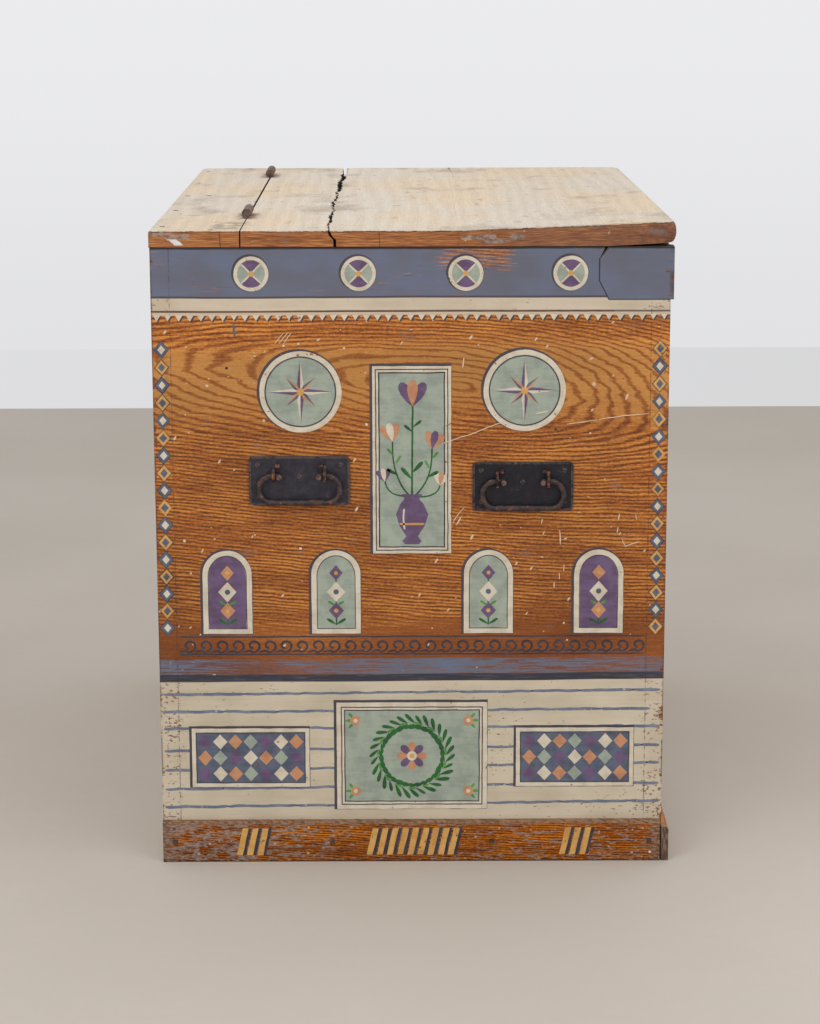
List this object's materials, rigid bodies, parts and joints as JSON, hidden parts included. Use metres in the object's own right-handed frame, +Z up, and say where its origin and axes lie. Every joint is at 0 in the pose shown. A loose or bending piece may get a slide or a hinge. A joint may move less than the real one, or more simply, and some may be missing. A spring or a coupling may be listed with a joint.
{
  "type": "painted chest",
  "caption": "Deep plank chest with a painted end, a lid hinged between a nailed strip and a folding flap, a plinth round three sides and swinging bail handles.",
  "frame": {"origin": "underside of the middle bottom board, in the middle of the carcase's width and length, where it rests", "axes": "+Z up; +Y along the chest's length, away from the painted end; +X towards its front, away from the hinges"},
  "size_m": [0.651, 0.9131, 0.8234],
  "materials": {
    "painted_pine": "painted and grained, worn",
    "bare_pine": "bare, weathered",
    "black_iron": "black paint, rusting",
    "rusty_iron": "dark rust",
    "nail_iron": "dull iron"
  },
  "bodies": {
    "carcase": {"painted_end_board_1": "painted_pine", "painted_end_board_2": "painted_pine", "painted_end_board_3": "painted_pine", "far_end_board_1": "painted_pine", "far_end_board_2": "painted_pine", "far_end_board_3": "painted_pine", "left_side_board_1": "painted_pine", "left_side_board_2": "painted_pine", "left_side_board_3": "painted_pine", "right_side_board_1": "painted_pine", "right_side_board_2": "painted_pine", "right_side_board_3": "painted_pine", "corner_repair_block": "painted_pine", "bottom_board_1": "bare_pine", "bottom_board_2": "bare_pine", "bottom_board_3": "bare_pine", "bottom_board_4": "bare_pine", "bottom_board_5": "bare_pine", "painted_end_plinth": "painted_pine", "far_end_plinth": "painted_pine", "right_side_plinth": "painted_pine", "lid_strip": "bare_pine", "side_nails": "nail_iron", "bottom_nails": "nail_iron", "plinth_nails": "nail_iron", "lid_strip_nails": "nail_iron", "near_hinge_strip_leaf": "rusty_iron", "far_hinge_strip_leaf": "rusty_iron", "near_hinge_pin": "rusty_iron", "far_hinge_pin": "rusty_iron", "strip_hinge_screws": "nail_iron", "left_handle_plate": "black_iron", "right_handle_plate": "black_iron", "left_handle_screws": "nail_iron", "right_handle_screws": "nail_iron"},
    "flap": {"flap_inner_board": "bare_pine", "flap_middle_board": "bare_pine", "flap_outer_board": "bare_pine", "near_flap_batten": "bare_pine", "far_flap_batten": "bare_pine", "batten_nails": "nail_iron", "near_hinge_flap_leaf": "rusty_iron", "far_hinge_flap_leaf": "rusty_iron", "flap_hinge_screws": "nail_iron"},
    "left_bail": {"left_handle_bail": "rusty_iron"},
    "right_bail": {"right_handle_bail": "rusty_iron"}
  },
  "joints": [
    {"name": "lid_hinge", "type": "hinge", "parent": "carcase", "child": "flap", "pos_m": [-0.209, 0, 0.8174], "axis": [0, -1, 0], "range_deg": [0, 180]},
    {"name": "left_bail_swing", "type": "hinge", "parent": "carcase", "child": "left_bail", "pos_m": [-0.1395, -0.4506, 0.506], "axis": [-1, 0, 0], "range_deg": [0, 90]},
    {"name": "right_bail_swing", "type": "hinge", "parent": "carcase", "child": "right_bail", "pos_m": [0.1395, -0.4506, 0.498], "axis": [-1, 0, 0], "range_deg": [0, 90]}
  ]
}
